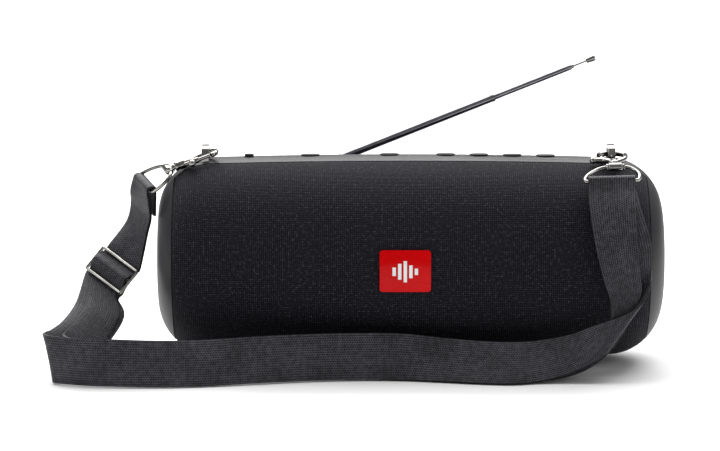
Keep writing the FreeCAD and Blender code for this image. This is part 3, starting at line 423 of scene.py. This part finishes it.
def thicken(piece, thickness, offset, bevel=0.0):
    """Gives a cloth strip its thickness and soft edges, and applies both."""
    pick(piece)
    wall = piece.modifiers.new("thickness", "SOLIDIFY")
    wall.thickness = thickness
    wall.offset = offset
    wall.use_even_offset = True
    bpy.ops.object.modifier_apply(modifier="thickness")
    if bevel:
        edge = piece.modifiers.new("soft edges", "BEVEL")
        edge.width = bevel
        edge.segments = 2
        edge.limit_method = "ANGLE"
        edge.angle_limit = math.radians(60)
        bpy.ops.object.modifier_apply(modifier="soft edges")
    bpy.ops.object.shade_smooth_by_angle(angle=math.radians(50))


def make_strap(material):
    """One length of webbing: sewn flap, left ring, adjuster, front band, right ring, inner band."""
    stations = pairs(SEWN_FLAP) + round_bar("left", (0, 45, 90, 135, 180)) + pairs(LEFT_DROP)
    stations += at_slider(SLIDER_WEAVE, 1) + pairs(FRONT_RUN)
    stations += round_bar("right", (180, 135, 90, 45, 0)) + pairs(INNER_HANG)
    stations += at_slider(SEWN_END, -1)
    strap, length = ribbon("shoulder_strap", stations, RIBBON_STEPS, RIBBON_COLUMNS)
    thicken(strap, WEBBING_T * MM, 0.0, WEBBING_EDGE * MM)
    strap.data.materials.append(material)
    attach(strap, "speaker")
    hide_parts("strap_webbing")


# ---- the cloth sleeve ---------------------------------------------------------------------
CLOTH_T = 0.45
CLOTH_STEP = (2.4, 2.2)   # mesh spacing along the barrel and round it
PORT_OPENING = ((-29.7, 30.0, 40.1), (29.7, 60.0, 61.1))
LEDGE_OPENING = ((-75.8, 35.1, 77.2), (94.8, 60.0, 110.0))


def barrel_radius(x):
    """The body's radius at x, in millimetres, on its crown and shoulders."""
    if abs(x) < CORNER_X:
        return CROWN_R - x * x / (2 * CROWN_BULGE_R)
    centre = CROWN_R - CROWN_BULGE_R + math.sqrt((CROWN_BULGE_R - CORNER_R) ** 2 - CORNER_X ** 2)
    return centre + math.sqrt(CORNER_R ** 2 - (abs(x) - CORNER_X) ** 2)


def tucked(distance, reach=1.3, drop=0.75):
    """How far the cloth dips where it is tucked in at an edge, this far away."""
    if distance >= reach:
        return 0.0
    return drop * (1 - math.sqrt(max(0.0, 1 - (1 - distance / reach) ** 2)))


def edge_steps(start, end, step, fine=(0.0, 0.25, 0.6, 1.3)):
    """Even steps from start to end, finer beside both."""
    inner = int((end - start - 2 * fine[-1]) / step)
    middle = [start + fine[-1] + (end - start - 2 * fine[-1]) * i / inner for i in range(inner + 1)]
    return [start + f for f in fine[:-1]] + middle + [end - f for f in reversed(fine[:-1])]


def cut_box(piece, low, high):
    """Cuts a box, given in millimetres, out of a piece."""
    bpy.ops.object.select_all(action="DESELECT")
    centre = [(a + b) / 2 * MM for a, b in zip(low, high)]
    bpy.ops.mesh.primitive_cube_add(size=1.0, location=centre)
    cutter = bpy.context.object
    cutter.scale = [(b - a) * MM for a, b in zip(low, high)]
    bpy.context.view_layer.update()
    pick(piece)
    cut = piece.modifiers.new("opening", "BOOLEAN")
    cut.operation = "DIFFERENCE"
    cut.object = cutter
    bpy.ops.object.modifier_apply(modifier="opening")
    bpy.data.objects.remove(cutter)


def make_sleeve(material):
    """The cloth is one sheet glued round the barrel, tucked in at the spine and the end caps."""
    end = SEAM_X - CLOTH_GAP
    xs = edge_steps(-end, end, CLOTH_STEP[0])
    first = (SPINE_ANGLE + SPINE_GAP) * math.pi / 180 * CROWN_R
    last = 2 * math.pi * CROWN_R - first
    arcs = edge_steps(first, last, CLOTH_STEP[1])
    verts = []
    for arc in arcs:
        angle = arc / CROWN_R
        for x in xs:
            dip = max(tucked(min(arc - first, last - arc)), tucked(end - abs(x)))
            radius = barrel_radius(x) - dip
            y = radius * math.sin(angle)
            z = AXIS_Z + radius * math.cos(angle)
            verts.append((x * MM, y * MM, z * MM))
    stride = len(xs)
    faces = []
    for row in range(len(arcs) - 1):
        for c in range(stride - 1):
            here = row * stride + c
            faces.append((here, here + stride, here + stride + 1, here + 1))
    mesh = bpy.data.meshes.new("cloth_sleeve")
    mesh.from_pydata(verts, [], faces)
    layer = mesh.uv_layers.new(name="cloth")
    for loop in mesh.loops:
        row, c = divmod(loop.vertex_index, stride)
        layer.data[loop.index].uv = (xs[c] * MM, arcs[row] * MM)
    sleeve = bpy.data.objects.new("cloth_sleeve", mesh)
    bpy.context.scene.collection.objects.link(sleeve)
    facet = mesh.polygons[len(mesh.polygons) // 2]
    outward = Vector((0, facet.center.y, facet.center.z - AXIS_Z * MM))
    if facet.normal.dot(outward) < 0:
        mesh.flip_normals()
    thicken(sleeve, CLOTH_T * MM, -1.0)
    cut_box(sleeve, *PORT_OPENING)
    cut_box(sleeve, *LEDGE_OPENING)
    sleeve.data.materials.append(material)
    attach(sleeve, "speaker")
    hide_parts("grille_fabric")


# ---- hooks, swivels, rings, slide adjuster and antenna rims -------------------------------
HOOKS = {"left": {"eye": (-116.0, -10.0, 93.6), "tip": (-93.5, -7.5, 101.7), "gate": -1},
         "right": {"eye": (96.5, -27.0, 96.8), "tip": (96.2, -2.0, 100.5), "gate": 1}}
WIRE_R = 0.85             # a ring's wire
CORNER = 2.6              # how far from a ring's bend its rounding starts
SOCKET = 3.6              # where a ring's wire comes out of the cross tube
SHOULDER = 6.4            # where it begins to flare
ARM_R = 1.3               # a hook's arms
GATE_SWELL = 1.12         # how much stouter the gate's arm is
SLIDER_HALF = (11.9, 6.45)
SLIDER_WIRE = 0.8
SLIDER_BEND = 1.7
PIVOT = (-65.8, 38.6, 80.6)
RAISED = 21.7             # the antenna's angle above the level, in degrees
RIM_SIDES = 28
OUTER_L = 116.0           # pivot to the outer tube's mouth
DRAWN_MIDDLE = 40.5       # how far the second tube is drawn out
METAL_SMOOTH = 38.0       # edges sharper than this stay sharp on metal, in degrees
MOULD_EDGE = 35.0         # edges sharper than this are rounded on mouldings, in degrees


def frame_at(origin, along, up_hint):
    """A placement in millimetres: x along, z near up_hint."""
    x_axis = Vector(along).normalized()
    z_axis = (Vector(up_hint) - x_axis * x_axis.dot(Vector(up_hint))).normalized()
    y_axis = z_axis.cross(x_axis)
    turn = Matrix((x_axis, y_axis, z_axis)).transposed().to_4x4()
    return Matrix.Translation(origin) @ turn


def settle(piece, placement):
    """Puts a piece modelled in millimetres in its place, in metres, and leaves its object at the origin."""
    piece.data.transform(Matrix.Scale(MM, 4) @ placement @ piece.matrix_world)
    piece.matrix_world = Matrix.Identity(4)


def bent_wire(name, points, radius):
    """A round wire on one smooth line through its control points, in millimetres."""
    curve = bpy.data.curves.new(name, "CURVE")
    curve.dimensions = "3D"
    curve.bevel_depth = radius
    curve.bevel_resolution = 5
    curve.use_fill_caps = True
    line = curve.splines.new("NURBS")
    line.points.add(len(points) - 1)
    for point, place in zip(line.points, points):
        point.co = (*place, 1.0)
    line.order_u = 3
    line.use_endpoint_u = True
    line.resolution_u = 8
    wire = bpy.data.objects.new(name, curve)
    bpy.context.scene.collection.objects.link(wire)
    pick(wire)
    bpy.ops.object.convert(target="MESH")
    return bpy.context.object


def turned_part(name, profile, sides=32):
    """A part turned about x from (x, radius) stations, in millimetres."""
    bpy.ops.object.select_all(action="DESELECT")
    start, radius = profile[0]
    bpy.ops.mesh.primitive_circle_add(vertices=sides, radius=radius, fill_type="NGON",
                                      location=(0, 0, start))
    part = bpy.context.object
    part.name = name
    bpy.ops.object.mode_set(mode="EDIT")
    bpy.ops.mesh.select_all(action="SELECT")
    for (x0, r0), (x1, r1) in zip(profile, profile[1:]):
        bpy.ops.mesh.extrude_region_move(TRANSFORM_OT_translate={"value": (0, 0, x1 - x0)})
        bpy.ops.transform.resize(value=(r1 / r0, r1 / r0, 1.0))
    bpy.ops.mesh.select_all(action="SELECT")
    bpy.ops.mesh.remove_doubles(threshold=0.001)
    bpy.ops.mesh.normals_make_consistent(inside=False)
    bpy.ops.object.mode_set(mode="OBJECT")
    part.data.transform(Matrix.Rotation(math.radians(90.0), 4, "Y") @ part.matrix_world)
    part.matrix_world = Matrix.Identity(4)
    return part


def join(pieces, name):
    """Joins pieces into one, under this name."""
    bpy.ops.object.select_all(action="DESELECT")
    for piece in pieces:
        piece.select_set(True)
    bpy.context.view_layer.objects.active = pieces[0]
    bpy.ops.object.join()
    joined = bpy.context.object
    joined.name = name
    return joined


def hand_over(piece, material, body, node):
    """Finishes a piece: its material, the body it rides on and the CAD node it stands for."""
    pick(piece)
    bpy.ops.object.shade_smooth_by_angle(angle=math.radians(METAL_SMOOTH))
    piece.data.materials.clear()
    piece.data.materials.append(material)
    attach(piece, body)
    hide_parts(node)


def make_hook(side, material):
    """The casting: a grooved swivel barrel that splits into two arms round the lug."""
    s = HOOKS[side]["gate"]
    eye = Vector(HOOKS[side]["eye"])
    along = Vector(HOOKS[side]["tip"]) - eye
    placement = frame_at(eye, along, (0, 0, 1))
    barrel = turned_part("barrel", [(3.4, 1.5), (3.5, 2.1), (4.0, 2.4), (5.0, 2.4), (5.3, 2.0), (5.8, 2.0),
                                    (6.1, 2.35), (8.6, 2.3), (9.6, 1.9), (10.2, 0.4)])
    closed_line = [(7.4, 0, 0), (9.6, -s * 1.6, 0), (13.4, -s * 5.2, 0), (18.0, -s * 6.6, 0),
                   (22.6, -s * 6.4, 0), (24.6, -s * 2.4, 0), (24.6, s * 2.4, 0),
                   (23.2, s * 5.4, 0), (21.6, s * 5.9, 0)]
    closed_arm = bent_wire("closed_arm", closed_line, ARM_R)
    gate_line = [(7.4, 0, 0), (9.6, s * 1.6, 0), (11.6, s * 4.0, 0), (13.2, s * 5.0, 0),
                 (15.4, s * 5.2, 0)]
    gate_arm = bent_wire("gate_arm", gate_line, ARM_R * GATE_SWELL)
    casting = join([barrel, closed_arm, gate_arm], "snap_hook_" + side)
    settle(casting, placement)
    hand_over(casting, material, "speaker", "hook_" + side)


def make_swivel(side, material):
    """The swivel's cross tube, with knobbed ends, and the riveted stud into the barrel."""
    near, far = (Vector(end) for end in RING_BARS[side])
    eye = Vector(HOOKS[side]["eye"])
    along = (Vector(HOOKS[side]["tip"]) - eye).normalized()
    half_profile = [(2.6, 2.1), (3.1, 1.9), (3.4, 1.5), (4.0, 1.75), (4.4, 1.5), (4.5, 0.9)]
    profile = [(-x, radius) for x, radius in reversed(half_profile)] + half_profile
    tube = turned_part("cross_tube", profile)
    settle(tube, frame_at(eye, near - far, (0, 0, 1)))
    stud = turned_part("stud", [(0.0, 1.3), (2.4, 1.3), (2.5, 1.9), (3.1, 1.9), (3.2, 1.3), (6.8, 1.3)])
    settle(stud, frame_at(eye, along, (0, 0, 1)))
    cross = join([tube, stud], "swivel_cross_" + side)
    hand_over(cross, material, "speaker", "swivel_" + side)


def make_ring(side, material):
    """Bent wire ring: shoulders that flare out of the cross tube, then a straight bar."""
    near, far = (Vector(end) for end in RING_BARS[side])
    eye = Vector(HOOKS[side]["eye"])
    across = (near - far).normalized()
    middle = (near + far) * 0.5
    rise = eye - middle
    inward = rise.normalized()
    half = []
    for end, sign in ((near, 1), (far, -1)):
        half.append([eye + across * (sign * SOCKET), eye + across * (sign * SHOULDER),
                     end + inward * (rise.length * 0.62) - across * (sign * 1.6),
                     end + inward * CORNER * 1.3, end + inward * 0.25,
                     end - across * (sign * CORNER * 0.6)])
    points = half[0] + [middle] + list(reversed(half[1]))
    ring = bent_wire("ring_wire_" + side, points, WIRE_R)
    settle(ring, Matrix.Identity(4))
    hand_over(ring, material, "speaker", "ring_" + side)


def make_slider(material):
    """Wire slide adjuster: a rounded frame and the centre bar that the sewn end is looped on."""
    across = Vector(SLIDER_ACROSS).normalized()
    facing = across.cross(Vector(SLIDER_ALONG)).normalized()
    w, h = SLIDER_HALF
    bend = SLIDER_BEND
    loop = [(0, h), (w - bend, h), (w, h), (w, h - bend), (w, -h + bend), (w, -h), (w - bend, -h),
            (0, -h), (-w + bend, -h), (-w, -h), (-w, -h + bend), (-w, h - bend), (-w, h),
            (-w + bend, h), (0, h)]
    frame_wire = bent_wire("frame_wire", [(x, y, 0) for x, y in loop], SLIDER_WIRE)
    bar = turned_part("bar", [(-w, SLIDER_WIRE), (-w + 0.8, SLIDER_WIRE * 1.25), (-w + 1.6, SLIDER_WIRE),
                              (w - 1.6, SLIDER_WIRE), (w - 0.8, SLIDER_WIRE * 1.25), (w, SLIDER_WIRE)])
    adjuster = join([frame_wire, bar], "wire_slide_adjuster")
    settle(adjuster, frame_at(SLIDER_AT, across, facing))
    hand_over(adjuster, material, "speaker", "slide_adjuster")


def bore_through(piece):
    """Takes the two flat ends off a turned part and joins their edges with a bore."""
    pick(piece)
    bpy.ops.object.mode_set(mode="EDIT")
    bpy.ops.mesh.select_mode(type="FACE")
    bpy.ops.mesh.select_all(action="DESELECT")
    bpy.ops.object.mode_set(mode="OBJECT")
    for face in piece.data.polygons:
        face.select = len(face.vertices) > 4
    bpy.ops.object.mode_set(mode="EDIT")
    bpy.ops.mesh.delete(type="ONLY_FACE")
    bpy.ops.mesh.select_mode(type="EDGE")
    bpy.ops.mesh.select_all(action="DESELECT")
    bpy.ops.mesh.select_non_manifold()
    bpy.ops.mesh.bridge_edge_loops()
    bpy.ops.mesh.select_all(action="SELECT")
    bpy.ops.mesh.normals_make_consistent(inside=False)
    bpy.ops.mesh.select_mode(type="VERT")
    bpy.ops.object.mode_set(mode="OBJECT")


def make_antenna_rims(material):
    """Rolled rims at the mouths of the two wider tubes, rubbed bright by the sections that slide
    in them. The second tube's rim is low enough to go into the first tube."""
    lean = math.radians(RAISED)
    along = (math.cos(lean), 0.0, math.sin(lean))
    for name, body, mouth, radius, inside in (
            ("outer_rim", "antenna_outer", OUTER_L, 2.15, 1.57),
            ("middle_rim", "antenna_middle", OUTER_L + DRAWN_MIDDLE, 1.52, 1.07)):
        profile = [(mouth - 1.9, inside), (mouth - 1.9, radius - 0.2), (mouth - 1.6, radius),
                   (mouth - 1.1, radius - 0.1), (mouth - 0.4, radius), (mouth - 0.05, radius - 0.15),
                   (mouth + 0.02, inside)]
        rim = turned_part(name, profile, RIM_SIDES)
        bore_through(rim)
        settle(rim, frame_at(PIVOT, along, (0, 1, 0)))
        pick(rim)
        bpy.ops.object.shade_smooth_by_angle(angle=math.radians(METAL_SMOOTH))
        rim.data.materials.append(material)
        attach(rim, body)


def refine(node, name, width, body, material):
    """A copy of a moulded node with its sharp edges rounded over, as the real moulding's are."""
    source = NODES[node]
    piece = bpy.data.objects.new(name, source.data.copy())
    bpy.context.scene.collection.objects.link(piece)
    pick(piece)
    bpy.ops.object.mode_set(mode="EDIT")
    bpy.ops.mesh.select_all(action="SELECT")
    bpy.ops.mesh.remove_doubles(threshold=0.00001)
    bpy.ops.mesh.dissolve_limited(angle_limit=math.radians(1.0))
    bpy.ops.object.mode_set(mode="OBJECT")
    edge = piece.modifiers.new("rounding", "BEVEL")
    edge.width = width
    edge.segments = 3
    edge.limit_method = "ANGLE"
    edge.angle_limit = math.radians(MOULD_EDGE)
    bpy.ops.object.modifier_apply(modifier="rounding")
    hand_over(piece, material, body, node)


# ---- everything ---------------------------------------------------------------------------
set_camera()
set_stage()

cap_plastic = moulded("satin ABS, spark-eroded", "#1f1f22", "#262629", 0.46, 0.35 * MM, 0.02 * MM,
                      Specular_IOR_Level=0.28)
dark_plastic = moulded("plain black polystyrene", "#141415", "#1c1c1e", 0.55, 0.5 * MM, 0.02 * MM)
soft_rubber = moulded("soft-touch silicone", "#17171a", "#1f1f22", 0.50, 0.4 * MM, 0.015 * MM)
panel_rubber = moulded("soft-touch panel rubber", "#101012", "#161619", 0.46, 0.4 * MM, 0.015 * MM,
                       Specular_IOR_Level=0.3)
foot_rubber = moulded("black nitrile rubber", "#101011", "#18181a", 0.75, 0.6 * MM, 0.03 * MM)
cone_paper = moulded("black treated paper", "#131313", "#232323", 0.80, 1.2 * MM, 0.08 * MM)
cell_wrap = moulded("heat-shrink vinyl", "#1d4f91", "#2560a8", 0.25, 3.0 * MM, 0.02 * MM)
badge_red = moulded("red acrylic", "#c60003", "#d40004", 0.14, 6.0 * MM, 0.01 * MM, Specular_IOR_Level=0.12)
badge_white = moulded("white printed enamel", "#ededed", "#f6f6f6", 0.25, 3.0 * MM, 0.005 * MM)
chrome = plated("chrome-plated zinc casting", "#7b7976", "#a8a6a2", 0.05, 0.10)
dark_chrome = plated("black-chromed brass tube", "#77777c", "#96969b", 0.07, 0.07)
bright_tube = plated("nickel-plated brass rod", "#7c7b79", "#a3a29f", 0.10, 0.10)
stud_steel = plated("polished stainless pin", "#e6e6e4", "#f4f4f2", 0.12, 0.08)
steel = plated("zinc-plated steel", "#8c8c8c", "#a4a4a2", 0.28, 0.15)
aluminium = plated("anodised aluminium", "#707074", "#86868a", 0.30, 0.12)
board = board_green()
cloth = speaker_cloth()
strap_cloth = webbing()

FINISHES = {
    cap_plastic: ["end_cap_left", "end_cap_right", "top_spine", "port_bay"],
    dark_plastic: ["chassis_front", "chassis_rear", "battery_tray", "aux_socket"],
    soft_rubber: ["port_cover", "driver_surround_left", "driver_surround_right",
                  "radiator_surround_left", "radiator_surround_right"],
    panel_rubber: ["control_panel", "button_power", "button_mode", "button_previous", "button_play",
                   "button_next", "button_light"],
    foot_rubber: ["foot_pad"],
    cone_paper: ["driver_cone_left", "driver_cone_right"],
    cell_wrap: ["battery_cells"],
    badge_red: ["badge_plate"],
    badge_white: ["badge_bars"],
    chrome: ["lug_left", "lug_right", "hook_left", "hook_right", "hook_bolt_left", "hook_bolt_right",
             "swivel_left", "swivel_right", "ring_left", "ring_right", "slide_adjuster"],
    stud_steel: ["indicator_studs"],
    dark_chrome: ["antenna_outer_tube", "antenna_middle_tube", "antenna_base", "antenna_pin"],
    bright_tube: ["antenna_inner_tube", "antenna_tip_rod"],
    steel: ["chassis_screws", "driver_frame_left", "driver_frame_right", "usb_socket",
            "charge_socket", "card_socket"],
    aluminium: ["radiator_left", "radiator_right"],
    board: ["button_board", "main_board"],
}
for finish, names in FINISHES.items():
    for name in names:
        paint(name, finish)

make_strap(strap_cloth)
make_sleeve(cloth)
for side in ("left", "right"):
    make_hook(side, chrome)
    make_swivel(side, chrome)
    make_ring(side, chrome)
    refine("lug_" + side, "strap_lug_" + side, 0.3 * MM, "speaker", chrome)
make_slider(chrome)
make_antenna_rims(bright_tube)
refine("control_panel", "soft_control_panel", 0.35 * MM, "speaker", panel_rubber)
refine("badge_plate", "badge_face", 1.0 * MM, "speaker", badge_red)
